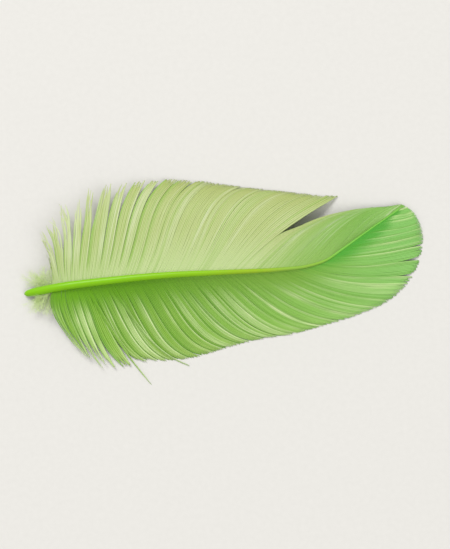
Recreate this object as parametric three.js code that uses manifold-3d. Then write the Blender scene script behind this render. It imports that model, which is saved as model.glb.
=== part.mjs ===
// A dyed lime-green feather, lying with its outer side up on a flat surface.
// It grew as one piece: a quill and shaft, and two vanes whose barbs stand in overlapping locks.
// Millimetres, +Z up. +X runs along the straight part of the shaft, from the quill to the tip.
import * as THREE from "three";
import { mergeVertices } from "three/addons/utils/BufferGeometryUtils.js";
import Module from "manifold-3d";

const wasm = await Module();
wasm.setup();

// The middle of the feather's outline, measured from the first barb. It becomes the origin.
const OUTLINE_MIDDLE = [38.252, -0.081];

// The shaft, in the order x, y, height of its middle, radius. The first barb grows at x = 0.
const SHAFT = [
  [-6.8, -0.52, 0.36, 0.16],
  [-6.4, -0.5, 0.5, 0.52],
  [-5.2, -0.4, 1.05, 0.82],
  [-2.5, -0.2, 2.25, 0.92],
  [0, 0, 3.3, 0.9],
  [12.4, 0.45, 5.5, 0.8],
  [25.5, 0.5, 6.8, 0.68],
  [38.4, 0.05, 7.1, 0.54],
  [50.6, -0.25, 6.5, 0.4],
  [56.4, 0.0, 5.9, 0.33],
  [60.6, 1.0, 5.2, 0.28],
  [64.5, 3.2, 4.3, 0.24],
  [70.2, 6.7, 2.9, 0.2],
  [78.4, 11.5, 1.2, 0.15],
];
const FIRST_BARB = 4; // its row in SHAFT
const SHAFT_SIDES = 10;
const SHAFT_STEPS = 30;

// One row for each barb that shapes a vane: its root's distance along the shaft from the first barb,
// the x, y and height of its tip, its heading at the root and at the tip in degrees from +X,
// and how far its middle bows up from the straight line between root and tip.
const LOWER_VANE = [
  [0.3, 5.2, -15.1, 1.6, -128, -56, -0.3],
  [2.8, 9.0, -18.6, 1.0, -92, -60, -0.5],
  [5.5, 12.5, -19.5, 0.6, -75, -56, -0.7],
  [8.3, 17.6, -18.0, 0.35, -67, -38, -0.9],
  [12.0, 23.2, -18.0, 0.12, -63, -26, -1.1],
  [16.6, 29.1, -17.9, 0.12, -59, -20, -1.3],
  [22.1, 36.2, -16.5, 0.12, -56, -15, -1.3],
  [27.6, 43.6, -15.1, 0.12, -52, -12, -1.3],
  [34.0, 51.9, -14.4, 0.12, -48, -10, -1.3],
  [41.4, 62.2, -12.5, 0.12, -42, -9, -1.2],
  [46.0, 68.6, -10.9, 0.12, -38, -8, -1.0],
  [50.6, 74.7, -8.6, 0.12, -33, -5, -0.7],
  [54.7, 79.1, -5.0, 0.12, -27, 0, -0.4],
  [58.0, 81.7, -1.1, 0.12, -17, 6, 0.0],
  [61.6, 83.0, 2.8, 0.12, -5, 10, 0.3],
  [66.2, 83.3, 6.1, 0.25, 4, 14, 0.4],
  [71.8, 82.7, 8.6, 0.45, 12, 20, 0.3],
  [77.3, 81.5, 10.9, 0.6, 20, 26, 0.2],
  [81.0, 80.2, 12.0, 0.7, 26, 32, 0.0],
];
const UPPER_VANE = [
  [0.3, -0.7, 6.4, 2.6, 118, 132, 0.6],
  [1.4, -3.1, 13.8, 3.0, 104, 135, 0.8],
  [2.8, 0.5, 17.9, 2.6, 97, 118, 1.0],
  [4.6, 5.5, 19.8, 2.2, 88, 98, 1.0],
  [6.9, 11.0, 22.6, 2.0, 80, 80, 1.0],
  [9.2, 15.2, 23.2, 1.6, 74, 68, 1.0],
  [12.0, 20.2, 23.2, 1.2, 68, 55, 1.0],
  [15.6, 26.2, 22.8, 0.8, 63, 42, 1.0],
  [19.3, 31.5, 22.1, 0.4, 59, 30, 1.0],
  [23.0, 36.8, 21.3, 0.12, 56, 22, 1.0],
  [26.7, 41.8, 20.1, 0.12, 53, 15, 1.0],
  [31.3, 48.0, 18.8, 0.12, 50, 8, 1.0],
  [35.0, 54.6, 17.5, 0.12, 48, 8, 1.0],
  [38.2, 60.0, 16.5, 0.12, 45, 16, 0.9],
  [41.0, 65.4, 15.7, 0.12, 42, 25, 0.8],
];
const UPPER_VANE_PAST_SPLIT = [
  [41.0, 66.4, 12.1, 1.0, 38, 6, 0.42],
  [44.6, 69.2, 12.3, 1.0, 41, 4, 0.5],
  [48.2, 71.4, 12.4, 1.0, 43, 2, 0.6],
  [52.4, 73.4, 12.4, 0.95, 42, 2, 0.5],
  [58.0, 75.4, 12.4, 0.9, 41, 10, 0.4],
  [64.4, 77.3, 12.5, 0.85, 43, 18, 0.3],
  [71.8, 78.6, 12.6, 0.8, 43, 26, 0.2],
  [79.1, 79.5, 12.4, 0.75, 40, 32, 0.1],
  [81.0, 80.0, 12.1, 0.7, 36, 34, 0.0],
];
// Two wisps stray past the lower edge near the quill, each given by the barbs along its two sides.
const LOWER_WISPS = [
  [
    [6.8, 20.0, -23.5, 0.12, -67, -54, -0.9],
    [7.6, 20.3, -23.3, 0.12, -66, -54, -0.9],
  ],
  [
    [12.2, 28.6, -19.6, 0.12, -63, -24, -1.1],
    [13.0, 28.8, -19.4, 0.12, -63, -24, -1.1],
  ],
];
const BARB_REACH = 0.36; // how far each end's heading holds, as a share of the barb's span

const LOWER_LOCKS = 36;
const UPPER_LOCKS = 19;
const PAST_SPLIT_LOCKS = 8;

// Near the quill the locks stand apart from here to their tips, as shares of their length.
const LOOSE = 0.34;
const CLOSED = 0.92;
const LOOSE_UNTIL = 20; // past this distance along the shaft the vane is closed
const LOWER_LOOSE_UNTIL = 13; // the same for the lower vane
const LOOSE_TIP = 0.06; // a lock's width at its tip, as a share of its own
const CLOSED_TIP = 0.75;
const LOCK_OVERLAP = 0.25; // how far neighbouring locks run into each other
const LOCK_THICK = [0.5, 0.34]; // at the shaft and at the tip
const LOCK_TILT = 0.28; // how far its edges rise and sink, as a share of its thickness
const LOCK_STEPS = 8;
const LOCK_UNEVEN = 0.2; // how far a lock's edge strays from its even place
const LOWER_GATHER = 1.45; // over 1 makes the locks narrower toward the quill
const UPPER_GATHER = 1.5;
const FINENESS = 0.04; // detail smaller than this is smoothed away
const GRID = 0.005; // points are rounded to this, so that no face is a sliver
const SMALLEST = 0.0005; // points closer than this are one point

// A repeatable number from -1 to 1 for each whole number.
function wobble(k) {
  const wave = Math.sin(12.9898 * k + 4.1) * 43758.5453;
  return 2 * (wave - Math.floor(wave)) - 1;
}

// The slope of each column at each row, from the rows on both sides of it.
function slopes(knots, rows) {
  const last = knots.length - 1;
  const rise = (i, c) => (rows[i + 1][c] - rows[i][c]) / (knots[i + 1] - knots[i]);
  return rows.map((row, i) =>
    row.map((_, c) => {
      if (i === 0) return rise(0, c);
      if (i === last) return rise(last - 1, c);
      const before = knots[i] - knots[i - 1];
      const after = knots[i + 1] - knots[i];
      return (rise(i - 1, c) * after + rise(i, c) * before) / (before + after);
    }),
  );
}

// A smooth curve through rows of numbers, one row at each knot.
function smooth(knots, rows) {
  const slope = slopes(knots, rows);
  return (at) => {
    const s = Math.min(Math.max(at, knots[0]), knots[knots.length - 1]);
    let i = knots.length - 2;
    while (i > 0 && knots[i] > s) i--;
    const step = knots[i + 1] - knots[i];
    const u = (s - knots[i]) / step;
    const a = 2 * u ** 3 - 3 * u ** 2 + 1;
    const b = u ** 3 - 2 * u ** 2 + u;
    const c = u ** 3 - u ** 2;
    return rows[i].map(
      (value, k) =>
        a * value + (1 - a) * rows[i + 1][k] + step * (b * slope[i][k] + c * slope[i + 1][k]),
    );
  };
}

// Distances along the shaft in plan, zero at the first barb.
function shaftKnots() {
  const steps = SHAFT.map((row, i) =>
    i ? Math.hypot(row[0] - SHAFT[i - 1][0], row[1] - SHAFT[i - 1][1]) : 0,
  );
  const sums = steps.map((_, i) => steps.slice(0, i + 1).reduce((a, b) => a + b));
  return sums.map((sum) => sum - sums[FIRST_BARB]);
}
const knots = shaftKnots();
const shaftAt = smooth(knots, SHAFT);
const quillEnd = knots[0];
const shaftEnd = knots[knots.length - 1];

// A straight shape is bent into place: each vertex says how far along, across and up it is.
function bent(geometry, place) {
  const position = geometry.getAttribute("position");
  for (let i = 0; i < position.count; i++) {
    const along = 0.5 - position.getY(i);
    position.setXYZ(i, ...place(along, position.getX(i), position.getZ(i)));
  }
  return solid(geometry);
}

function solid(geometry) {
  geometry.deleteAttribute("normal");
  geometry.deleteAttribute("uv");
  const merged = mergeVertices(geometry, SMALLEST);
  return new wasm.Manifold(
    new wasm.Mesh({
      numProp: 3,
      vertProperties: merged.attributes.position.array,
      triVerts: new Uint32Array(merged.index.array),
    }),
  );
}

// The quill and shaft: a tapered round rod along the arched centre line.
function makeShaft() {
  const rod = new THREE.CylinderGeometry(1, 1, 1, SHAFT_SIDES, SHAFT_STEPS);
  return bent(rod, (along, across, up) => {
    const s = quillEnd + (shaftEnd - quillEnd) * along;
    const [x, y, z, radius] = shaftAt(s);
    const ahead = shaftAt(s + 0.1);
    const behind = shaftAt(s - 0.1);
    const heading = Math.atan2(ahead[1] - behind[1], ahead[0] - behind[0]);
    return [
      x - radius * across * Math.sin(heading),
      y + radius * across * Math.cos(heading),
      z + radius * up,
    ];
  });
}

// A vane gives the place of a point a share t along the barb that grows at distance s.
function vane(rows) {
  const barb = smooth(
    rows.map((row) => row[0]),
    rows,
  );
  return (s, t) => {
    const [, tipX, tipY, tipZ, rootTurn, tipTurn, bow] = barb(s);
    const [x, y, z] = shaftAt(s);
    const reach = BARB_REACH * Math.hypot(tipX - x, tipY - y);
    const a = THREE.MathUtils.degToRad(rootTurn);
    const b = THREE.MathUtils.degToRad(tipTurn);
    const curve = new THREE.CubicBezierCurve(
      new THREE.Vector2(x, y),
      new THREE.Vector2(x + reach * Math.cos(a), y + reach * Math.sin(a)),
      new THREE.Vector2(tipX - reach * Math.cos(b), tipY - reach * Math.sin(b)),
      new THREE.Vector2(tipX, tipY),
    );
    const point = curve.getPoint(t);
    return [point.x, point.y, z * (1 - t) + tipZ * t + bow * 4 * t * (1 - t)];
  };
}

// One lock of barbs: a blade from the shaft's middle to the vane's edge. Its near edge lies under
// the lock before it and its far edge over the lock after it.
function makeLock(pointAt, from, to, side, looseUntil) {
  const middle = (from + to) / 2;
  const half = (to - from) / 2 + LOCK_OVERLAP;
  const closed = THREE.MathUtils.smoothstep(middle, 0, looseUntil);
  const parts = LOOSE + (CLOSED - LOOSE) * closed;
  const tip = LOOSE_TIP + (CLOSED_TIP - LOOSE_TIP) * closed;
  const blade = new THREE.BoxGeometry(2, 1, 2, 1, LOCK_STEPS, 1);
  return bent(blade, (along, across, up) => {
    const narrowed = Math.max(0, (along - parts) / (1 - parts));
    const width = half * (1 - (1 - tip) * narrowed);
    const [x, y, z] = pointAt(middle - side * across * width, along);
    const thick = LOCK_THICK[0] + (LOCK_THICK[1] - LOCK_THICK[0]) * along;
    return [x, y, z + (thick * up) / 2 - side * across * thick * LOCK_TILT];
  });
}

// The edges between locks, spread over a vane with a little unevenness.
function lockEdges(first, last, count, gather) {
  return Array.from({ length: count + 1 }, (_, k) => {
    const inside = k > 0 && k < count;
    const share = (k + (inside ? LOCK_UNEVEN * wobble(k) : 0)) / count;
    return first + (last - first) * share ** gather;
  });
}

function makeVane(rows, side, count = 1, gather = 1, looseUntil = LOOSE_UNTIL) {
  const pointAt = vane(rows);
  const edges = lockEdges(rows[0][0], rows[rows.length - 1][0], count, gather);
  return edges
    .slice(1)
    .map((to, k) => makeLock(pointAt, edges[k], to, side, looseUntil))
    .reduce((joined, lock) => joined.add(lock));
}

// What would hang below the surface lies flat on it.
function laidFlat(whole) {
  const ground = new THREE.BoxGeometry(200, 200, 10).translate(0, 0, -5);
  return whole.subtract(solid(ground));
}

// The pockets closed in between locks are filled: only the outer surface is kept.
function outerSurface(whole) {
  return whole.decompose().reduce((a, b) => (a.volume() > b.volume() ? a : b));
}

function surfaceOf(body) {
  const mesh = body.getMesh();
  const geometry = new THREE.BufferGeometry();
  geometry.setAttribute("position", new THREE.BufferAttribute(mesh.vertProperties, 3));
  geometry.setIndex(new THREE.BufferAttribute(mesh.triVerts, 1));
  return geometry;
}

function onGrid(body) {
  const geometry = surfaceOf(body);
  const position = geometry.getAttribute("position");
  const rounded = (value) => Math.round(value / GRID) * GRID;
  for (let i = 0; i < position.count; i++) {
    const [x, y, z] = [position.getX(i), position.getY(i), position.getZ(i)].map(rounded);
    position.setXYZ(i, x, y, z);
  }
  return solid(geometry).simplify(GRID);
}

function makeFeather() {
  const parts = [
    makeVane(LOWER_VANE, -1, LOWER_LOCKS, LOWER_GATHER, LOWER_LOOSE_UNTIL),
    makeVane(UPPER_VANE, 1, UPPER_LOCKS, UPPER_GATHER),
    makeVane(UPPER_VANE_PAST_SPLIT, 1, PAST_SPLIT_LOCKS),
    ...LOWER_WISPS.map((wisp) => makeVane(wisp, -1)),
  ];
  const joined = parts.reduce((whole, part) => whole.add(part), makeShaft());
  const centred = laidFlat(joined).translate(-OUTLINE_MIDDLE[0], -OUTLINE_MIDDLE[1], 0);
  const geometry = surfaceOf(outerSurface(onGrid(centred.simplify(FINENESS))));
  geometry.computeVertexNormals();
  const dyed = new THREE.MeshStandardMaterial({ color: 0x9acb58, roughness: 0.6, metalness: 0 });
  const feather = new THREE.Mesh(geometry, dyed);
  feather.name = "feather";
  return feather;
}

const root = new THREE.Group();
root.add(makeFeather());

export default root;
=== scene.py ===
# %% [markdown]
# A dyed lime-green feather lies with its outer side up on a pale surface. It grew as one thing: a bare
# quill, a shaft that bends near the tip, and two vanes made of hundreds of fine barbs. The barbs could
# be hair curves or a picture on a card. Here each one is a thin closed ribbon with its own place in an
# array, so that it keeps its shape when it is exported and from every side.

# %% Load the solid model as the fixed frame
import math

import bpy
import numpy as np
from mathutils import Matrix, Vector


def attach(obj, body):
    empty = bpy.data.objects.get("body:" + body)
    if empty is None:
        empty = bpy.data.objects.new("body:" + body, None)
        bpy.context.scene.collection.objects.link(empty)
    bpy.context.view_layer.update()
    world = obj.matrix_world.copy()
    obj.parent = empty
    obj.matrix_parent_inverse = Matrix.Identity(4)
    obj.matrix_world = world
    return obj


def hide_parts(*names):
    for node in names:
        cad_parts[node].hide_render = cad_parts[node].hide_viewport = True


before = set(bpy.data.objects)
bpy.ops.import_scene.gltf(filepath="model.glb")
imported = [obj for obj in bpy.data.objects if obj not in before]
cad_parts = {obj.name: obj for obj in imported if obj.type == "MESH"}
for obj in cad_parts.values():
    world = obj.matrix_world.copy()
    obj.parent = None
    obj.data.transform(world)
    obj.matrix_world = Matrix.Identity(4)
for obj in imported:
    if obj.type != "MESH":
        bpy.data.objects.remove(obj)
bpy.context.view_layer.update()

# %% [markdown]
# The photograph looks almost straight down, and the shaft's straight part rises a little to the right
# in it. The feather could be turned instead, but then it would no longer lie as the solid does. So the
# camera is turned and tilted. Its lens is long and it stands far away, so that nothing is distorted.

# %% Camera
IMAGE_WIDTH, IMAGE_HEIGHT = 450, 549
SHAFT_RISE = 4.73  # degrees that the shaft rises to the right in the picture
CAMERA_ELEVATION = 85.0
FOCAL_MM = 100.0
SENSOR_MM = 36.0
FRAMED_WIDTH = 0.1  # metres across the picture, at the feather
AIM_HEIGHT = 0.003  # metres, about halfway up the arch

camera = bpy.data.objects.new("camera", bpy.data.cameras.new("camera"))
camera.data.lens = FOCAL_MM
camera.data.sensor_width = SENSOR_MM
camera.data.clip_start = 0.01
bpy.context.scene.collection.objects.link(camera)
bpy.context.scene.camera = camera

across_share = SENSOR_MM * IMAGE_WIDTH / IMAGE_HEIGHT / FOCAL_MM
distance = FRAMED_WIDTH / across_share
tilt = math.radians(90 - CAMERA_ELEVATION)
turn = math.radians(-SHAFT_RISE)
aim = Vector((0.0, 0.0, AIM_HEIGHT))
toward_camera = Vector(
    (math.sin(turn) * math.sin(tilt), -math.cos(turn) * math.sin(tilt), math.cos(tilt))
)
camera.location = aim + distance * toward_camera
camera.rotation_euler = (tilt, 0.0, turn)
print("camera distance in metres:", round(distance, 3))

# %% [markdown]
# The shaft and the vanes share one set of driving sizes with the solid model: rows of places along the
# shaft, and rows of barbs that shape each vane. An outline alone would say where a vane ends, but not
# how its barbs run. The middle of the feather's outline is the origin, and lengths are in millimetres
# until a mesh is made.

# %% Driving sizes
MM = 0.001
OUTLINE_MIDDLE = np.array([38.252, -0.081, 0.0])

# x, y, height of the shaft's middle, radius
SHAFT = np.array([
    [-6.8, -0.52, 0.36, 0.16],
    [-6.4, -0.5, 0.5, 0.52],
    [-5.2, -0.4, 1.05, 0.82],
    [-2.5, -0.2, 2.25, 0.92],
    [0, 0, 3.3, 0.9],
    [12.4, 0.45, 5.5, 0.8],
    [25.5, 0.5, 6.8, 0.68],
    [38.4, 0.05, 7.1, 0.54],
    [50.6, -0.25, 6.5, 0.4],
    [56.4, 0.0, 5.9, 0.33],
    [60.6, 1.0, 5.2, 0.28],
    [64.5, 3.2, 4.3, 0.24],
    [70.2, 6.7, 2.9, 0.2],
    [78.4, 11.5, 1.2, 0.15],
])
FIRST_BARB = 4  # its row in SHAFT

# distance of the barb's root along the shaft, x, y and height of its tip, heading at the root and at
# the tip in degrees from +X, and how far its middle bows up
LOWER_VANE = np.array([
    [0.3, 5.2, -15.1, 1.6, -128, -56, -0.3],
    [2.8, 9.0, -18.6, 1.0, -92, -60, -0.5],
    [5.5, 12.5, -19.5, 0.6, -75, -56, -0.7],
    [8.3, 17.6, -18.0, 0.35, -67, -38, -0.9],
    [12.0, 23.2, -18.0, 0.12, -63, -26, -1.1],
    [16.6, 29.1, -17.9, 0.12, -59, -20, -1.3],
    [22.1, 36.2, -16.5, 0.12, -56, -15, -1.3],
    [27.6, 43.6, -15.1, 0.12, -52, -12, -1.3],
    [34.0, 51.9, -14.4, 0.12, -48, -10, -1.3],
    [41.4, 62.2, -12.5, 0.12, -42, -9, -1.2],
    [46.0, 68.6, -10.9, 0.12, -38, -8, -1.0],
    [50.6, 74.7, -8.6, 0.12, -33, -5, -0.7],
    [54.7, 79.1, -5.0, 0.12, -27, 0, -0.4],
    [58.0, 81.7, -1.1, 0.12, -17, 6, 0.0],
    [61.6, 83.0, 2.8, 0.12, -5, 10, 0.3],
    [66.2, 83.3, 6.1, 0.25, 4, 14, 0.4],
    [71.8, 82.7, 8.6, 0.45, 12, 20, 0.3],
    [77.3, 81.5, 10.9, 0.6, 20, 26, 0.2],
    [81.0, 80.2, 12.0, 0.7, 26, 32, 0.0],
])
UPPER_VANE = np.array([
    [0.3, -0.7, 6.4, 2.6, 118, 132, 0.6],
    [1.4, -3.1, 13.8, 3.0, 104, 135, 0.8],
    [2.8, 0.5, 17.9, 2.6, 97, 118, 1.0],
    [4.6, 5.5, 19.8, 2.2, 88, 98, 1.0],
    [6.9, 11.0, 22.6, 2.0, 80, 80, 1.0],
    [9.2, 15.2, 23.2, 1.6, 74, 68, 1.0],
    [12.0, 20.2, 23.2, 1.2, 68, 55, 1.0],
    [15.6, 26.2, 22.8, 0.8, 63, 42, 1.0],
    [19.3, 31.5, 22.1, 0.4, 59, 30, 1.0],
    [23.0, 36.8, 21.3, 0.12, 56, 22, 1.0],
    [26.7, 41.8, 20.1, 0.12, 53, 15, 1.0],
    [31.3, 48.0, 18.8, 0.12, 50, 8, 1.0],
    [35.0, 54.6, 17.5, 0.12, 48, 8, 1.0],
    [38.2, 60.0, 16.5, 0.12, 45, 16, 0.9],
    [41.0, 65.4, 15.7, 0.12, 42, 25, 0.8],
])
UPPER_VANE_PAST_SPLIT = np.array([
    [41.0, 66.4, 12.1, 1.0, 38, 6, 0.42],
    [44.6, 69.2, 12.3, 1.0, 41, 4, 0.5],
    [48.2, 71.4, 12.4, 1.0, 43, 2, 0.6],
    [52.4, 73.4, 12.4, 0.95, 42, 2, 0.5],
    [58.0, 75.4, 12.4, 0.9, 41, 10, 0.4],
    [64.4, 77.3, 12.5, 0.85, 43, 18, 0.3],
    [71.8, 78.6, 12.6, 0.8, 43, 26, 0.2],
    [79.1, 79.5, 12.4, 0.75, 40, 32, 0.1],
    [81.0, 80.0, 12.1, 0.7, 36, 34, 0.0],
])
LOWER_WISPS = np.array([
    [
        [6.8, 20.0, -23.5, 0.12, -67, -54, -0.9],
        [7.6, 20.3, -23.3, 0.12, -66, -54, -0.9],
    ],
    [
        [12.2, 28.6, -19.6, 0.12, -63, -24, -1.1],
        [13.0, 28.8, -19.4, 0.12, -63, -24, -1.1],
    ],
])
BARB_REACH = 0.36  # how far each end's heading holds, as a share of the barb's span


# %% [markdown]
# The rows say where the shaft and some barbs are, and everything between them has to be smooth.
# Straight lines from row to row would show as kinks in the shaft. So a curve runs through the rows
# and keeps its direction at each of them.

# %% A smooth curve through rows of numbers
def smooth(knots, rows):
    """A curve through one row of numbers at each knot. With u the share of the way between two knots a
    step apart, each number is (2u^3 - 3u^2 + 1) a + (3u^2 - 2u^3) b + step (u^3 - 2u^2 + u) a' +
    step (u^3 - u^2) b', where the slopes a' and b' come from the rows on both sides."""
    slope = np.gradient(rows, knots, axis=0)

    def at(place):
        """The row of numbers at each place."""
        place = np.clip(place, knots[0], knots[-1])
        i = np.clip(np.searchsorted(knots, place, side="right") - 1, 0, len(knots) - 2)
        step = (knots[i + 1] - knots[i])[..., None]
        u = (place - knots[i])[..., None] / step
        ends = (2 * u**3 - 3 * u**2 + 1) * rows[i] + (3 * u**2 - 2 * u**3) * rows[i + 1]
        slopes = (u**3 - 2 * u**2 + u) * slope[i] + (u**3 - u**2) * slope[i + 1]
        return ends + step * slopes

    return at


shaft_steps = np.hypot(*np.diff(SHAFT[:, :2], axis=0).T)
shaft_knots = np.concatenate([[0.0], np.cumsum(shaft_steps)])
shaft_knots -= shaft_knots[FIRST_BARB]
shaft_at = smooth(shaft_knots, SHAFT)
print("shaft from", round(shaft_knots[0], 2), "to", round(shaft_knots[-1], 2), "mm along")


# %% [markdown]
# Every part of the feather is a closed tube: a ring of points carried along a path. A curve with a
# bevel would make tubes too, but not with a rib, a keel and a web whose width changes. So one function
# turns an array of rings into a mesh, and a vane of hundreds of barbs is made in one go. Each tube gets
# its own strip of the bake map, and attributes that tell the material where on the barb it is.

# %% Closed tubes into a mesh
MAP_END = 0.01  # share of the bake map left free at both ends of a strip
STRIP_EDGE = 0.08  # share of a strip left free along both its sides


def tube_quads(tubes, rings, sides):
    """The faces of tubes of points numbered [tube, ring, side]: a quad from each side of a ring to the
    next side and the next ring, and at each end a fan of quads across the ring."""
    number = np.arange(tubes * rings * sides).reshape(tubes, rings, sides)
    after = np.roll(number, -1, axis=2)
    wall = np.stack(
        [number[:, :-1], after[:, :-1], after[:, 1:], number[:, 1:]], axis=-1
    ).reshape(-1, 4)
    low = np.arange(sides // 2 - 1)
    high = sides - 1 - low
    fan = np.stack([low, low + 1, high - 1, high], axis=-1)
    start = number[:, 0][:, fan[:, ::-1]].reshape(-1, 4)
    end = number[:, -1][:, fan].reshape(-1, 4)
    return np.concatenate([wall, start, end])


def strip_map(quads, tubes, rings, sides):
    """The bake map: tube k fills the strip from k to k + 1 out of all, its length runs across the map,
    and its way round runs up the strip."""
    tube, rest = np.divmod(quads, rings * sides)
    ring, side = np.divmod(rest, sides)
    wraps = (side.max(axis=1) - side.min(axis=1) == sides - 1) & (np.ptp(ring, axis=1) > 0)
    side = np.where(wraps[:, None] & (side == 0), sides, side)
    along = MAP_END + (1 - 2 * MAP_END) * ring / (rings - 1)
    up = (tube + STRIP_EDGE + (1 - 2 * STRIP_EDGE) * side / sides) / tubes
    return np.stack([along, up], axis=-1)


def enclosed(points, quads):
    """The volume inside closed quads, as a sum of a . (b x c) / 6 over their triangles."""
    a, b, c, d = (points[quads[:, i]] for i in range(4))
    pairs = np.einsum("ij,ij->i", a, np.cross(b, c)) + np.einsum("ij,ij->i", a, np.cross(c, d))
    return pairs.sum() / 6


def make_piece(name, points, attributes=None):
    """A mesh object of closed tubes, with its faces outwards. points is [tube, ring, side, xyz] in
    millimetres from the first barb, and each attribute is [tube, ring] or [tube, ring, side]."""
    tubes, rings, sides = points.shape[:3]
    quads = tube_quads(tubes, rings, sides)
    bake = strip_map(quads, tubes, rings, sides)
    placed = (points.reshape(-1, 3) - OUTLINE_MIDDLE) * MM
    if enclosed(placed, quads) < 0:
        quads, bake = quads[:, ::-1], bake[:, ::-1]
    mesh = bpy.data.meshes.new(name)
    mesh.vertices.add(len(placed))
    mesh.vertices.foreach_set("co", placed.ravel())
    mesh.loops.add(quads.size)
    mesh.loops.foreach_set("vertex_index", quads.ravel())
    mesh.polygons.add(len(quads))
    mesh.polygons.foreach_set("loop_start", np.arange(0, quads.size, 4))
    mesh.uv_layers.new(name="OFBake").uv.foreach_set("vector", bake.ravel())
    for label, values in (attributes or {}).items():
        spread = np.broadcast_to(values.reshape(*values.shape[:2], -1), (tubes, rings, sides))
        layer = mesh.attributes.new(label, "FLOAT", "POINT")
        layer.data.foreach_set("value", spread.astype(np.float32).ravel())
    mesh.update()
    mesh.validate()
    mesh.shade_smooth()
    piece = bpy.data.objects.new(name, mesh)
    bpy.context.scene.collection.objects.link(piece)
    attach(piece, "root")
    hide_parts("feather")
    print(name, tubes, "tubes", 2 * len(quads), "triangles")
    return piece


# %% [markdown]
# The shaft is a tapering rod, bright and smooth on its upper side, with a groove along its underside as
# on a real feather. Below the first barb it is the bare quill, which bends down to the surface and has
# a small blunt end. A bevelled curve would be quick, but round all the way. This is one tube with many
# sides, whose radius changes with the place and the angle.

# %% Shaft and quill
SHAFT_RINGS = 220
SHAFT_SIDES = 24
RING_GATHER = 1.15  # a power above 1 puts more rings near the quill
GROOVE_DEPTH = 0.3  # share of the radius
GROOVE_WIDTH = 0.5  # radians
GROOVE_FROM, GROOVE_COMES = -2, 6  # mm along the shaft where it starts, and over which it deepens
FLATTENED = 0.06  # share of the radius
LOWEST = 0.01  # mm over the surface on which the feather lies


def unit(vectors):
    """Each vector divided by its own length, or by a billionth if it is shorter than that."""
    return vectors / np.maximum(np.linalg.norm(vectors, axis=-1, keepdims=True), 1e-9)


def above_surface(points, lowest=LOWEST):
    """The points with the height max(z, lowest)."""
    return np.concatenate([points[..., :2], np.maximum(points[..., 2:], lowest)], axis=-1)


shaft_span = shaft_knots[-1] - shaft_knots[0]
ring_place = shaft_knots[0] + shaft_span * np.linspace(0, 1, SHAFT_RINGS) ** RING_GATHER
ring_middle = shaft_at(ring_place)[:, :3]
ring_radius = shaft_at(ring_place)[:, 3]
forward = unit(np.gradient(ring_middle, axis=0))
leftward = unit(np.cross([0.0, 0.0, 1.0], forward))
upward = np.cross(forward, leftward)

# radius r(a) = r0 (1 - flat sin^2 a - groove exp(-((a - 270 degrees) / width)^2)), grooved past the quill
side_angle = 2 * np.pi * np.arange(SHAFT_SIDES) / SHAFT_SIDES
groove = GROOVE_DEPTH * np.exp(-(((side_angle - 1.5 * np.pi) / GROOVE_WIDTH) ** 2))
grooved = np.clip((ring_place - GROOVE_FROM) / GROOVE_COMES, 0, 1)[:, None] * groove
side_radius = ring_radius[:, None] * (1 - FLATTENED * np.sin(side_angle) ** 2 - grooved)
ring = (
    leftward[:, None] * (side_radius * np.cos(side_angle))[..., None]
    + upward[:, None] * (side_radius * np.sin(side_angle))[..., None]
)
shaft_points = above_surface(ring_middle[:, None] + ring)
shaft = make_piece(
    "shaft", shaft_points[None], {"along": ((ring_place - shaft_knots[0]) / shaft_span)[None]}
)


# %% [markdown]
# A barb leaves the shaft at one heading and ends at another, so in plan it is a smooth curve with two
# handles. Its height runs from the shaft down to the vane's edge, with a bow. Hundreds of such curves
# would be slow to draw one by one. So a vane is a surface of two parameters: the distance s of the root
# along the shaft, and the share t of the way along the barb.

# %% The surface of a vane
def vane_surface(rows):
    """The point at (s, t): in plan the cubic curve (1-t)^3 P0 + 3(1-t)^2 t P1 + 3(1-t) t^2 P2 + t^3 P3
    from the shaft to the tip, and in height (1-t) z0 + t z3 + 4 bow t (1-t)."""
    barb = smooth(rows[:, 0], rows)

    def point(s, t):
        """The point for each s and t."""
        s, t = np.broadcast_arrays(s, t)
        tip_x, tip_y, tip_z, root_turn, tip_turn, bow = np.moveaxis(barb(s), -1, 0)[1:]
        x, y, z = np.moveaxis(shaft_at(s), -1, 0)[:3]
        handle = BARB_REACH * np.hypot(tip_x - x, tip_y - y)
        a, b = np.radians(root_turn), np.radians(tip_turn)
        weights = (1 - t) ** 3, 3 * (1 - t) ** 2 * t, 3 * (1 - t) * t**2, t**3
        xs = x, x + handle * np.cos(a), tip_x - handle * np.cos(b), tip_x
        ys = y, y + handle * np.sin(a), tip_y - handle * np.sin(b), tip_y
        height = (1 - t) * z + t * tip_z + 4 * bow * t * (1 - t)
        plan_x = sum(w * value for w, value in zip(weights, xs))
        plan_y = sum(w * value for w, value in zip(weights, ys))
        return np.stack([plan_x, plan_y, height], axis=-1)

    return point


# %% [markdown]
# On a real vane the barbs hook together into a sheet, and the sheet is made of locks that overlap like
# roof tiles. A flat sheet with a picture of barbs would look right only from far away. So each barb is
# real, and is told which lock it belongs to and where in it.

# %% Locks of barbs
LOCK_UNEVEN = 0.2  # share of a lock by which its edge may lie off
LOWER_GATHER, UPPER_GATHER = 1.45, 1.5  # powers above 1 make the locks near the quill narrower


def wobble(k):
    """A repeatable number from -1 to 1: twice the fraction of 43758.5453 sin(12.9898 k + 4.1), less 1."""
    wave = np.sin(12.9898 * k + 4.1) * 43758.5453
    return 2 * (wave - np.floor(wave)) - 1


def lock_edges(rows, count, gather=1.0):
    """Distances first + (last - first) ((k + uneven wobble(k)) / count)^gather for k from 0 to count."""
    first, last = rows[0, 0], rows[-1, 0]
    k = np.arange(count + 1)
    inside = (k > 0) & (k < count)
    share = (k + np.where(inside, LOCK_UNEVEN * wobble(k), 0)) / count
    return first + (last - first) * share**gather


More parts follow.
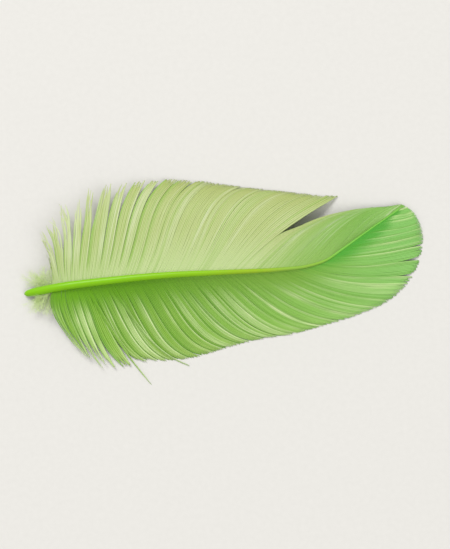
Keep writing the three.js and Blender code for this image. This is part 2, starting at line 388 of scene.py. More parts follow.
def place_in_lock(s, edges):
    """The number of a barb's lock, the lock's middle, half its width, and the barb's place in it,
    (s - middle) / half."""
    lock = np.clip(np.searchsorted(edges, s) - 1, 0, len(edges) - 2)
    middle = (edges[lock] + edges[lock + 1]) / 2
    half = (edges[lock + 1] - edges[lock]) / 2
    return lock, middle, half, (s - middle) / half


# %% [markdown]
# Here and there the hooks let go. Then the barbs on both sides of a slit lean away from it. Near the
# quill whole locks come loose, and each draws its barbs together into a point, as a wet brush does.
# Gaps cut out of a finished sheet would cut through barbs. So both are a push along the shaft on the
# line that a barb follows, which grows toward the tip.

# %% Slits, and locks that come loose
CLOSED = 0.92  # share of the barb past which the locks part even in a closed vane
# share of the barb past which they part at the quill, and mm along the shaft where the vane is closed
UPPER_LOOSE, LOWER_LOOSE = (0.34, 20.0), (0.5, 13.0)
LOOSE_TIP, CLOSED_TIP = 0.06, 0.96  # width of a lock at its tip, as a share of the lock
SLIT_REACH = 0.5  # mm along the shaft over which a slit's push fades
SLIT_FULL = 1.1  # share of the barb at which a slit would be fully open, a little past the tip


def smoothstep(low, high, value):
    """3u^2 - 2u^3 of u = (value - low) / (high - low), kept from 0 to 1."""
    u = np.clip((value - low) / (high - low), 0, 1)
    return 3 * u**2 - 2 * u**3


def slit_push(s, t, edges, slits):
    """Millimetres along the shaft that slits move a barb: the sum of width exp(-|d| / reach) away from
    each slit at distance d, which grows from where the slit starts to the tip. slits is rows of lock
    number, starting share and width."""
    away = s[:, None] - edges[slits[:, 0].astype(int)]
    push = np.sign(away) * slits[:, 2] * np.exp(-np.abs(away) / SLIT_REACH)
    opened = smoothstep(slits[:, 1], SLIT_FULL, t[:, :, None])
    return (push[:, None] * opened).sum(axis=-1)


def drawn_in(s, t, evenness, loose_from, loose_until):
    """The share by which a loose lock's barbs draw to its middle: it grows from 0 where the locks part
    to 1 - tip width at the tip, times the barb's evenness, from 0 to 1."""
    closed = smoothstep(0, loose_until, s)[:, None]
    parts = loose_from + (CLOSED - loose_from) * closed
    tip = LOOSE_TIP + (CLOSED_TIP - LOOSE_TIP) * closed
    return np.clip((t - parts) / (1 - parts), 0, 1) * (1 - tip) * evenness[:, None]


# %% [markdown]
# Each barb is a ribbon with a stiff rib down its middle and a thin web of barbules on both sides. Its
# section has six points: a raised rib on top, a keel below, and two thin edges. More points would show
# no more at this size, and a flat strip would show no rib. Where the vane is closed the ribbons just
# overlap. Where it has come loose they are narrower, with air between them.

# %% The section of a barb
RIB_HEIGHT, EDGE_HALF, KEEL_DEPTH = 0.07, 0.005, 0.09  # mm at the root
SECTION_ACROSS = np.array([-1, 0, 1, 1, 0, -1])
SECTION_UP = np.array([EDGE_HALF, RIB_HEIGHT, EDGE_HALF, -EDGE_HALF, -KEEL_DEPTH, -EDGE_HALF])
IS_RIB = np.array([0.0, 1.0, 0.0, 0.0, 1.0, 0.0])
RATE_STEP = 0.05  # mm along the shaft


def across_barbs(point, s, t, path):
    """Three things at each place of a barb: the direction to the next barb, square to this one, the
    direction up out of the vane, and how many millimetres apart two barbs are for each millimetre along
    the shaft, from (point(s + step) - point(s - step)) / (2 step)."""
    along = unit(np.gradient(path, axis=1))
    rate = (point(s + RATE_STEP, t) - point(s - RATE_STEP, t)) / (2 * RATE_STEP)
    rate -= along * np.sum(rate * along, axis=-1, keepdims=True)
    up = np.cross(unit(rate), along)
    return unit(rate), up * np.sign(up[..., 2:]), np.linalg.norm(rate, axis=-1)


def ribbon(path, web, rib, half_width, size):
    """Six points round each place of the path: path + web half_width across + rib size up, for the
    section's across and up."""
    return (
        path[:, :, None]
        + web[:, :, None] * (half_width[..., None] * SECTION_ACROSS)[..., None]
        + rib[:, :, None] * (size[..., None] * SECTION_UP)[..., None]
    )


# %% [markdown]
# Barbs grow in a row along the shaft. Roots scattered at random would leave bare spots and heaps, so
# the spacing is a smooth function of the place, closer at the quill, where the vanes fan out. Chance
# only decides how a barb differs from its neighbours.

# %% Where barbs grow
BARB_SPACING = 0.3  # mm along the shaft
DENSEST = 0.4  # of the usual spacing, where the vanes fan out at the quill
DENSE_UNTIL = 7.0  # mm along the shaft
ROOT_STEPS = 4000


def barb_roots(first, last):
    """Places along the shaft whose spacing is BARB_SPACING times a share that grows smoothly from
    DENSEST at the quill to 1, found where the running sum of 1 / spacing passes whole numbers."""
    place = np.linspace(first, last, ROOT_STEPS)
    share = DENSEST + (1 - DENSEST) * smoothstep(0, DENSE_UNTIL, place)
    passed = np.cumsum(np.gradient(place) / (BARB_SPACING * share))
    count = int(np.ceil(passed[-1]))
    return np.interp((np.arange(count) + 0.5) / count * passed[-1], passed, place)


def runs(random, count, change):
    """Neighbouring barbs share a number from 0 to 1, and a new one starts with the chance change."""
    return random.random(count)[np.cumsum(random.random(count) < change)]


# %% Where barbs end, and the line that they follow
BARB_RINGS = 26
ENDS_DENSER = 0.3  # from 0 to 1, how far a barb's rings gather at both its ends
RAGGED = 0.03  # share of a barb that may be missing at its tip
LOOSE_RAGGED, LOCK_RAGGED = 0.2, 0.12  # where locks are loose, more of a barb and of its whole lock
STRAYS = 0.65  # share of the draw that a loose barb may not follow
APART_AT = 0.5  # share of the draw at which barbs stand fully apart
CLOSED_HOLDS = 0.9  # share by which a closed vane keeps its barbs from standing apart
WAVES = 1.3  # waves of a barb's own sway along it
SWAY, LOOSE_SWAY = 0.03, 0.2  # mm along the shaft, and how much more where barbs stand apart


def barb_ends(random, lock, locks, closed, worn):
    """Where each barb ends, as a share of its full length: 1 less worn times what is missing, which is
    up to RAGGED, and (1 - closed) times more where the locks are loose."""
    short_lock = LOCK_RAGGED * random.random(locks)[lock]
    end = 1 - worn * RAGGED * random.random(len(lock)) ** 2
    missing = LOOSE_RAGGED * random.random(len(lock)) ** 2 + short_lock
    return end - worn * missing * (1 - closed)


def ring_shares(end):
    """How far along the barb each ring is: end ((1 - denser) u + denser smoothstep(u)) for even u."""
    even = np.linspace(0, 1, BARB_RINGS)
    return end[:, None] * ((1 - ENDS_DENSER) * even + ENDS_DENSER * smoothstep(0, 1, even))


def line_followed(random, s, t, middle, edges, slits, closed, loose):
    """Which barb line each ring follows, s + (middle - s) draw + slit push + sway sin(2 pi (waves t +
    start)), and from 0 to 1 how far the barbs stand apart there."""
    draw = drawn_in(s, t, 1 - STRAYS * random.random(len(s)) * (1 - closed), *loose)
    apart_by = smoothstep(0.0, APART_AT, draw) * (1 - CLOSED_HOLDS * closed[:, None])
    wander = np.sin(2 * np.pi * (WAVES * t + random.random(len(s))[:, None]))
    followed = s[:, None] + (middle - s)[:, None] * draw + slit_push(s, t, edges, slits)
    return followed + (SWAY + LOOSE_SWAY * apart_by) * wander, apart_by


# %% [markdown]
# Now a vane can be grown. Hair curves would be quicker to comb, but the export drops them. So each barb
# takes its line from the surface, stands up toward the far edge of its lock, which lies over the next
# lock, and is given its width. All barbs and all their rings are worked out in the same few lines.

# %% Barbs along a vane
WEB_OVERLAP = 1.15  # of half the distance to the next barb
NARROWEST_HALF, WIDEST_HALF = 0.05, 0.34  # mm
LOOSE_HALF = 0.085  # mm where barbs stand apart
TAPER, CLOSED_KEEPS = 0.75, 0.3  # share of the width lost at the tip, and how much less when closed
TAPERS = 0.88, 1.02  # from and to this share of the barb's own length
THINNER = 0.6  # share of the rib's and keel's height lost at the tip
STREAK_CHANGE = 0.3  # chance that the next barb starts a new streak
STREAK_LIFT = 0.05  # mm between the highest and the lowest streak at the tip
LEAST_STEEP, STEEP_RANGE = 0.4, 1.2  # a lock rises from 0.4 to 0.4 + 1.2 times the lift, by chance
RISES = 0.03, 0.35  # shares of the barb over which a lock's far edge comes up
HALF_LOCK_LEAST = 0.3  # mm, so that the barbs of a narrow lock don't stand on edge


def half_widths(s, t, end, apart, apart_by, closed):
    """Half a barb's width: overlap times half the way to the next barb, mixed with LOOSE_HALF by how
    far barbs stand apart, times 1 - taper smoothstep toward its end."""
    width = np.clip(WEB_OVERLAP * apart * np.gradient(s)[:, None] / 2, NARROWEST_HALF, WIDEST_HALF)
    width = width * (1 - apart_by) + LOOSE_HALF * apart_by
    taper = TAPER - CLOSED_KEEPS * closed[:, None]
    return width * (1 - taper * smoothstep(*TAPERS, t / end[:, None]))


def grow_barbs(point, edges, slits, seed, lift, shows, loose=UPPER_LOOSE, worn=1.0):
    """All the barbs of a vane as [barb, ring, side, xyz] points, and their attributes. A barb stands
    off the vane by its place in the lock times a lift. lift, and how far the finish shows a lock's
    edges as painted highlight and shade, are given as distances and values. worn from 0 to 1 is how
    much of what may be missing at the tips is missing."""
    random = np.random.default_rng(seed)
    s = barb_roots(edges[0], edges[-1])
    lock, middle, half, in_lock = place_in_lock(s, edges)
    strand, streak = random.random(len(s)), runs(random, len(s), STREAK_CHANGE)
    closed = smoothstep(0, loose[1], s)
    end = barb_ends(random, lock, len(edges), closed, worn)
    t = ring_shares(end)
    followed, apart_by = line_followed(random, s, t, middle, edges, slits, closed, loose)
    path = point(followed, t)

    # its far edge stands over the next lock
    across, up, apart = across_barbs(point, followed, t, path)
    steepness = np.interp(s, *lift) * (LEAST_STEEP + STEEP_RANGE * random.random(len(edges))[lock])
    raised = steepness[:, None] * smoothstep(*RISES, t)
    path += up * (raised * in_lock[:, None] + STREAK_LIFT * (streak[:, None] - 0.5) * t)[..., None]
    slope = raised / np.maximum(half[:, None] * apart, HALF_LOCK_LEAST)
    web = unit(across + up * slope[..., None])
    rib = unit(up - across * slope[..., None])

    width = half_widths(s, t, end, apart, apart_by, closed)
    points = above_surface(ribbon(path, web, rib, width, 1 - THINNER * t))
    ones = np.ones_like(t)
    attributes = {
        "along": t,
        "root": s[:, None] / shaft_knots[-1] * ones,
        "strand": strand[:, None] * ones,
        "streak": streak[:, None] * ones,
        # the barb's place in its lock, scaled by how clearly the finish paints highlight on the raised
        # edge and shade on the sunk one
        "raised": 0.5 + 0.5 * (in_lock * np.interp(s, *shows))[:, None] * ones,
        "loose": apart_by,
        "rib": np.broadcast_to(IS_RIB, points.shape[:3]),
    }
    return points, attributes


# %% [markdown]
# The upper vane fans out at the quill, and slits run between its locks there. Past the middle it is
# almost smooth, up to the split. Past the split it is shorter. The lower vane has steeper locks, whose
# raised edges show as pale lines of painted highlight, and three short notches near the tip. A gap cut
# into one long upper vane would leave cut barbs beside it. So the upper vane is two stretches that meet
# at the split.

# %% The three stretches of vane
UPPER_LOCKS, PAST_SPLIT_LOCKS, LOWER_LOCKS = 19, 8, 36

# lock number, where along the barb the slit starts, its half width in mm along the shaft
UPPER_SLITS = np.array([
    [1, 0.2, 0.16], [2, 0.16, 0.2], [3, 0.2, 0.24], [4, 0.14, 0.26], [5, 0.2, 0.24], [6, 0.25, 0.3],
    [7, 0.2, 0.22], [8, 0.3, 0.3], [9, 0.3, 0.2], [10, 0.45, 0.24], [12, 0.6, 0.2], [15, 0.75, 0.16],
])
PAST_SPLIT_SLITS = np.array([[2, 0.6, 0.1], [6, 0.7, 0.12]])
LOWER_SLITS = np.array([
    [3, 0.3, 0.16], [4, 0.4, 0.2], [5, 0.45, 0.28], [6, 0.5, 0.3], [7, 0.6, 0.5], [13, 0.6, 0.1],
    [17, 0.7, 0.1], [23, 0.75, 0.12], [28, 0.82, 0.36], [29, 0.7, 0.5], [30, 0.8, 0.42],
    [33, 0.85, 0.2],
])

# distances along the shaft, with how far a lock's edge stands over the next lock in mm, and with how
# clearly the finish shows it as painted highlight and shade
UPPER_LIFT = [0, 13, 20, 41], [0.1, 0.09, 0.025, 0.012]
UPPER_SHOWS = [0, 14, 22, 41], [1.0, 1.0, 0.5, 0.3]
PAST_SPLIT_LIFT = [41, 60, 81], [0.015, 0.03, 0.04]
PAST_SPLIT_SHOWS = [41, 60, 81], [0.4, 0.6, 0.7]
LOWER_LIFT = [0, 24, 45, 81], [0.09, 0.07, 0.035, 0.02]
LOWER_SHOWS = [0, 81], [1.0, 0.95]

MEETS_OVER = 5  # mm along the shaft past the split
SPLIT_OPENS = 0.38, 0.62  # shares of the barb


def meeting(beyond, before, place):
    """The surface beyond a split, bent to meet the one before it where the split is closed. It adds
    their difference at the split times exp(-(s - place) / over) (1 - smoothstep(opens, t))."""

    def point(s, t):
        """The point for each s and t."""
        s, t = np.broadcast_arrays(s, t)
        share = np.exp(-(s - place) / MEETS_OVER) * (1 - smoothstep(*SPLIT_OPENS, t))
        at_split = np.full_like(s, place)
        return beyond(s, t) + share[..., None] * (before(at_split, t) - beyond(at_split, t))

    return point


upper_surface = vane_surface(UPPER_VANE)
upper_vane = make_piece(
    "upper_vane",
    *grow_barbs(
        upper_surface,
        lock_edges(UPPER_VANE, UPPER_LOCKS, UPPER_GATHER),
        UPPER_SLITS,
        seed=3,
        lift=UPPER_LIFT,
        shows=UPPER_SHOWS,
    ),
)
upper_vane_past_split = make_piece(
    "upper_vane_past_split",
    *grow_barbs(
        meeting(vane_surface(UPPER_VANE_PAST_SPLIT), upper_surface, UPPER_VANE[-1, 0]),
        lock_edges(UPPER_VANE_PAST_SPLIT, PAST_SPLIT_LOCKS),
        PAST_SPLIT_SLITS,
        seed=5,
        lift=PAST_SPLIT_LIFT,
        shows=PAST_SPLIT_SHOWS,
    ),
)
lower_vane = make_piece(
    "lower_vane",
    *grow_barbs(
        vane_surface(LOWER_VANE),
        lock_edges(LOWER_VANE, LOWER_LOCKS, LOWER_GATHER),
        LOWER_SLITS,
        seed=7,
        lift=LOWER_LIFT,
        shows=LOWER_SHOWS,
        loose=LOWER_LOOSE,
    ),
)

# %% [markdown]
# Two stray wisps stick out of the lower edge near the quill. They could be loose curves, but a wisp is
# only a very narrow lock. So each is grown like a vane, on a surface a few barbs wide, and its barbs
# keep almost their full length.

# %% Stray wisps
NO_SLITS = np.array([[0, 0.5, 0.0]])  # one slit of no width
WISP_WORN = 0.15

wisps = [
    grow_barbs(
        vane_surface(wisp),
        lock_edges(wisp, 1),
        NO_SLITS,
        seed=seed,
        lift=LOWER_LIFT,
        shows=LOWER_SHOWS,
        worn=WISP_WORN,
    )
    for seed, wisp in enumerate(LOWER_WISPS)
]
lower_wisps = make_piece(
    "lower_wisps",
    np.concatenate([points for points, _ in wisps]),
    {label: np.concatenate([marks[label] for _, marks in wisps]) for label in wisps[0][1]},
)

# %% [markdown]
# At the foot of the vanes the barbs have no hooks and stay soft and downy: thin curled threads with
# finer threads on both sides. They are kept few, because the photograph shows only a hint of them. Hair
# particles would make such down, but the export drops them too. So a thread is a tube along a path that
# turns a little at every step.

# %% Threads
LEVELS_OUT = 1.6  # how much of its climb a thread loses by its end


def turning_path(start, heading, climb, length, curl, rings):
    """A path from start whose heading is heading + curl u^2 and whose climb is climb (1 - LEVELS_OUT u)
    at the share u, added up over equal steps of its length. It comes with its headings."""
    u = np.linspace(0, 1, rings)
    turn = heading[:, None] + curl[:, None] * u**2
    rise = climb[:, None] * (1 - LEVELS_OUT * u)
    step = (length / (rings - 1))[:, None]
    ways = np.stack([np.cos(turn) * np.cos(rise), np.sin(turn) * np.cos(rise), np.sin(rise)], axis=-1)
    moves = ways * step[..., None]
    moves[:, 0] = 0
    return start[:, None] + np.cumsum(moves, axis=1), turn


def thread(path, radius):
    """Four points round each place of a path, radius away to the left, above, right and below."""
    along = unit(np.gradient(path, axis=1))
    left = unit(np.cross([0.0, 0.0, 1.0], along))
    round_it = np.stack([left, np.cross(along, left), -left, -np.cross(along, left)], axis=2)
    return path[:, :, None] + round_it * radius[..., None, None]


# %% Down at the foot of the vanes
DOWN_BARBS = 54
DOWN_RINGS = 18
DOWN_PLACE = -2.7, 0.4  # mm along the shaft
DOWN_SINK = 0.5  # mm that its roots lie below the shaft's middle
DOWN_LENGTH = 3.0, 6.5  # mm
DOWN_HEADING, DOWN_CURL, DOWN_CLIMB = (100, 150), (-60, 40), (-38, -8)  # degrees
DOWN_RADIUS, DOWN_TAPER = 0.045, 0.03  # mm at the root, and how much less at the tip
DOWN_LOWEST = 0.02  # mm over the surface
DOWN_SEED = 11

down_random = np.random.default_rng(DOWN_SEED)
down_place = down_random.uniform(*DOWN_PLACE, DOWN_BARBS)
down_side = np.where(np.arange(DOWN_BARBS) % 2 == 0, 1, -1)
down_heading = down_side * np.radians(down_random.uniform(*DOWN_HEADING, DOWN_BARBS))
down_curl = down_side * np.radians(down_random.uniform(*DOWN_CURL, DOWN_BARBS))
down_length = down_random.uniform(*DOWN_LENGTH, DOWN_BARBS)
down_climb = np.radians(down_random.uniform(*DOWN_CLIMB, DOWN_BARBS))
down_path, down_turn = turning_path(
    shaft_at(down_place)[:, :3] - [0.0, 0.0, DOWN_SINK],
    down_heading,
    down_climb,
    down_length,
    down_curl,
    DOWN_RINGS,
)
down_radius = DOWN_RADIUS - DOWN_TAPER * np.linspace(0, 1, DOWN_RINGS)
down_points = thread(down_path, np.broadcast_to(down_radius, (DOWN_BARBS, DOWN_RINGS)))
down = make_piece("down", above_surface(down_points, DOWN_LOWEST))

# %% Finer threads on both sides of each thread of down
BARE_RINGS = 2  # rings of a thread before its finer threads start
FINER_RADII = [0.018, 0.016, 0.013, 0.008]  # mm from the root to the tip
FINER_LENGTH = 0.5, 1.3  # mm
FINER_SWEEP, FINER_CLIMB = (35, 65), (-25, 25)  # degrees
FINER_CURL = -0.5  # radians

finer_rings = np.arange(BARE_RINGS, DOWN_RINGS - 1)
finer_side = np.tile([1, -1], DOWN_BARBS * len(finer_rings))
finer_count = len(finer_side)
finer_sweep = finer_side * np.radians(down_random.uniform(*FINER_SWEEP, finer_count))
finer_length = down_random.uniform(*FINER_LENGTH, finer_count)
finer_climb = np.radians(down_random.uniform(*FINER_CLIMB, finer_count))
finer_path, _ = turning_path(
    np.repeat(down_path[:, finer_rings].reshape(-1, 3), 2, axis=0),
    np.repeat(down_turn[:, finer_rings].ravel(), 2) + finer_sweep,
    finer_climb,
    finer_length,
    finer_side * FINER_CURL,
    len(FINER_RADII),
)
finer_points = thread(finer_path, np.broadcast_to(FINER_RADII, (finer_count, len(FINER_RADII))))
down_threads = make_piece("down_threads", above_surface(finer_points, DOWN_LOWEST))

# %% [markdown]
# The colours are written as they look on a screen and turned into the linear values that light is
# worked out with. A material is a net of nodes, which is hard to read when each node takes three lines.
# Plain sums read best, so a small class wraps a socket and adds the Math nodes when a sum is written.

# %% Colours and shader maths
def colour(code):
    """Linear red, green and blue of a screen colour: ((c + 0.055) / 1.055)^2.4, or c / 12.92 if dark."""
    screen = np.array([int(code[i : i + 2], 16) / 255 for i in (0, 2, 4)])
    linear = np.where(screen > 0.04045, ((screen + 0.055) / 1.055) ** 2.4, screen / 12.92)
    return (*linear.tolist(), 1.0)


class Shade:
    """A number on its way through a material's nodes. A sum or product with it adds a Math node."""

    def __init__(self, finish, socket):
        """Wraps an output socket of a node in the finish."""
        self.finish = finish
        self.socket = socket

    def maths(self, operation, *values):
        """What a Math node makes of the values."""
        node = self.finish.node("ShaderNodeMath", {"operation": operation}, dict(enumerate(values)))
        return Shade(self.finish, node.outputs[0])

    def __add__(self, other):
        """self + other"""
        return self.maths("ADD", self, other)

    def __radd__(self, other):
        """other + self, for a plain number first"""
        return self.maths("ADD", other, self)

    def __sub__(self, other):
        """self - other"""
        return self.maths("SUBTRACT", self, other)

    def __rsub__(self, other):
        """other - self, for a plain number first"""
        return self.maths("SUBTRACT", other, self)

    def __mul__(self, other):
        """self * other"""
        return self.maths("MULTIPLY", self, other)

    def __rmul__(self, other):
        """other * self, for a plain number first"""
        return self.maths("MULTIPLY", other, self)

    def step(self, low, high):
        """0 below low, 1 above high, and smooth between."""
        settings = {"interpolation_type": "SMOOTHSTEP", "clamp": True}
        inputs = {"Value": self, "From Min": low, "From Max": high}
        return Shade(self.finish, self.finish.node("ShaderNodeMapRange", settings, inputs).outputs[0])


class Finish:
    """A material under construction: its nodes, and the few moves that the finishes here share."""

    def __init__(self, name):
        """A new material with its usual shader."""
        self.material = bpy.data.materials.new(name)
        self.material.use_nodes = True
        self.tree = self.material.node_tree
        self.shader = self.tree.nodes["Principled BSDF"]
        self.output = self.tree.nodes["Material Output"]

    def node(self, kind, settings=None, inputs=None):
        """A node of a kind, with its settings made first and its sockets fed after."""
        node = self.tree.nodes.new(kind)
        for key, value in (settings or {}).items():
            setattr(node, key, value)
        for key, value in (inputs or {}).items():
            self.feed(node.inputs[key], value)
        return node

    def feed(self, socket, value):
        """Links a socket or a Shade to the socket, or sets a plain value on it."""
        source = value.socket if isinstance(value, Shade) else value
        if isinstance(source, bpy.types.NodeSocket):
            self.tree.links.new(source, socket)
        else:
            socket.default_value = source

    def mark(self, label):
        """The mesh's own number of that name at each point."""
        node = self.node("ShaderNodeAttribute", {"attribute_name": label})
        return Shade(self, node.outputs["Fac"])

    def mix(self, first, second, share):
        """The colour first (1 - share) + second share. A Mix node's colour sockets go by number."""
        inputs = {0: share, 6: first, 7: second}
        return self.node("ShaderNodeMix", {"data_type": "RGBA"}, inputs).outputs[2]

    def noise(self, vector, scale, detail=2.0):
        """Smooth noise from 0 to 1 at the vector times scale."""
        inputs = {"Vector": vector, "Scale": scale, "Detail": detail}
        return Shade(self, self.node("ShaderNodeTexNoise", None, inputs).outputs[0])

    def point(self, x, y, z=0.0):
        """A vector of three numbers."""
        return self.node("ShaderNodeCombineXYZ", None, {"X": x, "Y": y, "Z": z}).outputs[0]

    def object_point(self):
        """The place in the mesh, in metres."""
        return self.node("ShaderNodeTexCoord").outputs["Object"]

    def set(self, **values):
        """Feeds sockets of the usual shader, with _ for a space in their names."""
        for key, value in values.items():
            self.feed(self.shader.inputs[key.replace("_", " ")], value)


# %% [markdown]
# The dye of a vane is uneven, and it also carries painted light and shade. Beside the shaft the lower
# vane is deepest, partly its dye and partly painted shade from the shaft and from the vane sloping away
# from the light. The upper vane is palest there, partly its dye and partly painted light where it faces
# the light. The dye changes from the quill to the tip, and each barb took it a little differently. A
# painted picture would have to be drawn on hundreds of barbs. So the finish reads where on its barb a
# point is and where on the feather its barb grows, and mixes a few colours by that.

# %% Dye of the vanes, with painted light and shade
# shares of the barb, from the shaft to its tip
BODY_COMES, EDGE_COMES = (0.02, 0.5), (0.6, 1.0)
# the wedge of painted shade beside the bent shaft fades out over these shares of the barb
WEDGE_SHADE_GOES = 0.26, 0.55
# shares of the shaft, from the first barb to the tip, over which the tip's colour and the wedge of
# painted shade come in
TIP_COMES, WEDGE_SHADE_COMES = (0.62, 0.98), (0.64, 0.8)
UNEVEN = 0.03  # by which one barb or one streak may turn earlier than another


def across_vane(finish, along, beside_shaft, body, edge):
    """The colour from the shaft out to the edge, before anything else is laid over it: the dye, and
    beside the shaft partly painted shade on the lower vane and partly painted light on the upper one.
    """
    tint = finish.mix(colour(beside_shaft), colour(body), along.step(*BODY_COMES))
    return finish.mix(tint, colour(edge), along.step(*EDGE_COMES) * 0.7)


def vane_dye(finish, along, root, strand, streak, near, far, turns, toward_tip, wedge_shade):
    """near mixed into far by a step between turns along the shaft, then into the colour toward the tip,
    and last into painted shade in a wedge beside the bent shaft, where the vane slopes away from the
    light, if there is one."""
    own = root + UNEVEN * strand + UNEVEN * streak
    tint = finish.mix(
        across_vane(finish, along, *near), across_vane(finish, along, *far), own.step(*turns)
    )
    tint = finish.mix(tint, colour(toward_tip), (own + 0.2 * along).step(*TIP_COMES) * 0.9)
    # painted shade in a wedge beside the bent shaft, where the vane slopes away from the light
    if wedge_shade:
        shorter = along + 0.16 * (streak - 0.5)
        wedge = (own - 0.35 * along).step(*WEDGE_SHADE_COMES) * (1 - shorter.step(*WEDGE_SHADE_GOES))
        tint = finish.mix(tint, colour(wedge_shade), wedge)
    return tint


# %% [markdown]
# Over the dye lie pale streaks of painted highlight, on the raised edges of locks and on runs of
# barbs, which fade in and out. Dark lines of painted shade lie where a lock dips under the next. A
# barb also lets some light through. Light that scatters inside every barb would be slow to work out,
# so the finish mixes a soft glossy surface with a translucent one.

# %% Finish of the vanes
THROUGH = 0.3  # share of light that passes into the barb
# the streaks' pale cover is a painted highlight, and the lines' dark cover is painted shade
STREAK_HIGHLIGHT, SHADE_LINE, FAINT = 0.7, 0.8, 0.3  # how strongly streaks, lines and a barb's own marks cover the dye
LOOSE_PALER = 0.4  # the same for the pale look of loose barbs
FADED = 0.35  # what is left of a streak where it fades out
STREAKS_COME, SHADE_LINES_COME = (0.12, 0.42), (0.04, 0.25)  # shares of the barb
FADES_ALONG_SHAFT, FADES_ALONG_BARB = 60.0, 2.2  # how often streaks fade in and out
GRAIN = 2500.0, 60.0, 9.0  # how fine the grain is along the shaft, along a barb and between barbs
GRAIN_DEPTH = 0.00004  # metres


def vane_finish(name, near, far, turns, pale, shade_and_dark_barbs, toward_tip, highlight_strength, wedge_shade=None):
    """The finish of a vane. near and far are each the dye beside the shaft, in the body and at the
    edge. It turns from near to far between two places, given as shares of the shaft. The pale colour
    paints highlights on the streaks and raised lock edges, by as much as its strength says, and the
    dark colour paints shade where a lock dips under the next, and darkens some barbs and web edges."""
    finish = Finish(name)
    along, root, strand = finish.mark("along"), finish.mark("root"), finish.mark("strand")
    streak, raised, loose = finish.mark("streak"), finish.mark("raised"), finish.mark("loose")
    rib = finish.mark("rib")
    tint = vane_dye(finish, along, root, strand, streak, near, far, turns, toward_tip, wedge_shade)

    # painted highlight on pale streaks and raised lock edges, then painted shade where a lock dips under
    # the next
    drift_point = finish.point(root * FADES_ALONG_SHAFT, along * FADES_ALONG_BARB)
    drift = finish.noise(drift_point, scale=1.0)
    shown = along.step(*STREAKS_COME) * (FADED + (1 - FADED) * drift.step(0.38, 0.62))
    painted_highlight = streak.step(0.55, 0.95) * STREAK_HIGHLIGHT + raised.step(0.74, 0.96) * STREAK_HIGHLIGHT
    tint = finish.mix(tint, colour(pale), painted_highlight * shown * highlight_strength)
    # painted shade on the sunk edge of a lock, where it dips under the next
    painted_shade = (1 - raised).step(0.7, 0.95) * along.step(*SHADE_LINES_COME) * (1 - 0.7 * loose)
    tint = finish.mix(tint, colour(shade_and_dark_barbs), painted_shade * SHADE_LINE * (1 - 0.75 * root.step(0.3, 0.55)))

    # darker barbs and web edges, then paler ribs and loose tips
    tint = finish.mix(tint, colour(shade_and_dark_barbs), strand.step(0.5, 1.0) * FAINT * (1 - loose))
    tint = finish.mix(tint, colour(shade_and_dark_barbs), (1 - rib).step(0.7, 1.0) * FAINT)
    tint = finish.mix(tint, colour(pale), rib.step(0.7, 1.0) * along.step(0.0, 0.4) * FAINT)
    tint = finish.mix(tint, colour(pale), loose * LOOSE_PALER)

    grain_point = finish.point(root * GRAIN[0], along * GRAIN[1], strand * GRAIN[2])
    fine = finish.noise(grain_point, scale=1.0)
    relief = {"Strength": 0.25, "Distance": GRAIN_DEPTH, "Height": fine}
    bump = finish.node("ShaderNodeBump", None, relief).outputs[0]
    finish.set(
        Base_Color=tint,
        Roughness=0.46 + 0.16 * fine,
        Normal=bump,
        Specular_IOR_Level=0.3,
        Sheen_Weight=0.08,
        Sheen_Roughness=0.4,
    )
    light_through = {"Color": colour(near[1]), "Normal": bump}
    glow = finish.node("ShaderNodeBsdfTranslucent", None, light_through).outputs[0]
    both = {0: THROUGH, 1: finish.shader.outputs[0], 2: glow}
    blend = finish.node("ShaderNodeMixShader", None, both).outputs[0]
    finish.feed(finish.output.inputs["Surface"], blend)
    return finish.material


# the upper vane faces the light, and its pale colours, palest beside the shaft, are partly painted light
upper_dye = {
    "near": ("cadb9c", "bcca82", "aeb766"),
    "far": ("a2c66c", "96c05c", "8ab24e"),
    "turns": (0.53, 0.7),
    "pale": "e6edca",
    "shade_and_dark_barbs": "8cbc3a",
    "toward_tip": "7cbc48",
    "highlight_strength": 0.65,
}
upper_finish = vane_finish("upper_barbs", **upper_dye)
upper_vane.data.materials.append(upper_finish)
upper_vane_past_split.data.materials.append(upper_finish)

# the lower vane's greens, darkest beside the shaft where it slopes away from the light, are partly
# painted shade
lower_dye = {
    "near": ("70b00a", "90c042", "acc86a"),
    "far": ("8ec044", "9ad25c", "b0da78"),
    "turns": (0.2, 0.6),
    "pale": "e0f4ae",
    "shade_and_dark_barbs": "66a41c",
    "toward_tip": "8ed06c",
    "highlight_strength": 0.95,
    # painted shade of the wedge beside the bent shaft
    "wedge_shade": "58b63c",
}
lower_finish = vane_finish("lower_barbs", **lower_dye)
lower_vane.data.materials.append(lower_finish)
lower_wisps.data.materials.append(lower_finish)
print("vane finishes:", upper_finish.name, lower_finish.name)

# %% [markdown]
# Down has no shine, and it is paler than the vanes, because its threads are so thin. Threads as fine as
# the real ones would look pale by themselves, but they would be thousands. So the colour is paler.

# %% Finish of the down
DOWN_PATCHES = 300.0  # how often the colour changes in a metre, about


def down_finish():
    """Two pale greens in soft patches."""
    finish = Finish("pale_down")
    patches = finish.noise(finish.object_point(), DOWN_PATCHES)
    finish.set(
        Base_Color=finish.mix(colour("d9e6ae"), colour("bcd57c"), patches),
        Roughness=0.8,
        Specular_IOR_Level=0.2,
        Sheen_Weight=0.3,
    )
    return finish.material


for piece in (down, down_threads):
    piece.data.materials.append(down_finish())
    print("finish of", piece.name, "is", piece.data.materials[0].name)

# %% [markdown]
# The shaft took the dye best: a clear bright green at the quill that turns olive toward the bend, and
# the green of the vanes past it. It is horn, so it is smooth and glossy, with faint deeper patches. One
# colour would be simpler, but then the shaft would stand out near the tip as if it were drawn on.

# %% Finish of the shaft
# the green at the quill, then each colour that it turns to and the shares of the shaft over which
QUILL_GREEN = "76b200"
SHAFT_TURNS = [
    ("7eb000", (0.1, 0.6)),
    ("88a816", (0.42, 0.6)),
    ("80a83a", (0.58, 0.7)),
    ("72b444", (0.73, 0.83)),
]
SHAFT_PATCHES = 6.0, 0.5  # how far along the noise's x and y the shaft reaches


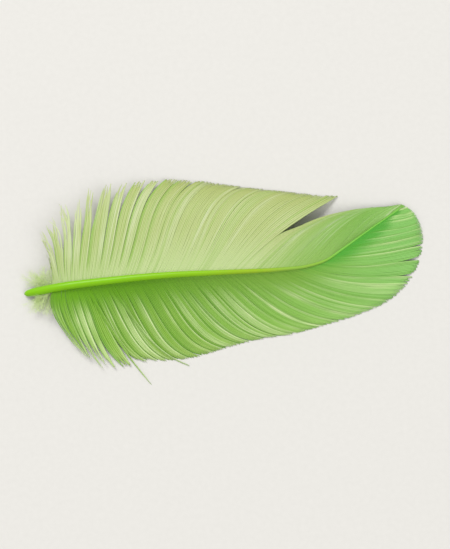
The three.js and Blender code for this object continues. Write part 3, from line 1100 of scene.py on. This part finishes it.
def shaft_finish():
    """The quill's green mixed into each next colour by a step along the shaft, under faint patches."""
    finish = Finish("glossy_shaft")
    along = finish.mark("along")
    tint = colour(QUILL_GREEN)
    for next_green, turns in SHAFT_TURNS:
        tint = finish.mix(tint, colour(next_green), along.step(*turns))
    place = finish.point(along * SHAFT_PATCHES[0], along * SHAFT_PATCHES[1])
    patches = finish.noise(place, scale=8.0, detail=3.0)
    tint = finish.mix(tint, colour("68a80c"), patches.step(0.5, 0.8) * 0.35)
    finish.set(
        Base_Color=tint,
        Roughness=0.38 + 0.12 * patches + 0.3 * along.step(0.55, 0.75),
        Specular_IOR_Level=0.2,
        Coat_Weight=0.1 * (1 - along.step(0.5, 0.7)),
        Coat_Roughness=0.25,
    )
    return finish.material


shaft.data.materials.append(shaft_finish())
print("finish of", shaft.name, "is", shaft.data.materials[0].name)

# %% [markdown]
# The surface is a plain pale sheet. A small lamp would draw hard shadows of the barbs. A large soft
# light from the upper left and a pale surround keep the shadows faint, as in the photograph, and the
# upper vane gets more light than the lower one.

# %% Surface, light and surround
FLOOR_HALF = 6.0  # metres
PAPER_GRAIN = 900.0
SURROUND = 0.68

floor_mesh = bpy.data.meshes.new("surface")
corners = [(x * FLOOR_HALF, y * FLOOR_HALF, 0) for x, y in ((-1, -1), (1, -1), (1, 1), (-1, 1))]
floor_mesh.from_pydata(corners, [], [(0, 1, 2, 3)])
floor = bpy.data.objects.new("surface", floor_mesh)
bpy.context.scene.collection.objects.link(floor)
paper = Finish("pale_surface")
grain = paper.noise(paper.object_point(), PAPER_GRAIN, detail=3.0)
paper.set(
    Base_Color=paper.mix(colour("cfcdc8"), colour("c9c7c2"), grain),
    Roughness=0.85,
    Specular_IOR_Level=0.2,
)
floor.data.materials.append(paper.material)


def soft_light(name, place, size, watts):
    """A round light at a place in metres, turned to the origin, size metres across."""
    light = bpy.data.objects.new(name, bpy.data.lights.new(name, "AREA"))
    light.data.shape = "DISK"
    light.data.size = size
    light.data.energy = watts
    light.location = place
    light.rotation_euler = (-Vector(place)).to_track_quat("-Z", "Y").to_euler()
    bpy.context.scene.collection.objects.link(light)
    print(name, "light of", watts, "watts")


soft_light("key", place=(-0.9, 1.8, 1.8), size=1.3, watts=60.0)
soft_light("fill", place=(1.4, -1.6, 2.1), size=2.1, watts=29.0)

world = bpy.data.worlds.new("studio")
world.use_nodes = True
world.node_tree.nodes["Background"].inputs["Color"].default_value = (1.0, 1.0, 1.0, 1.0)
world.node_tree.nodes["Background"].inputs["Strength"].default_value = SURROUND
bpy.context.scene.world = world
bpy.context.scene.view_settings.view_transform = "Standard"
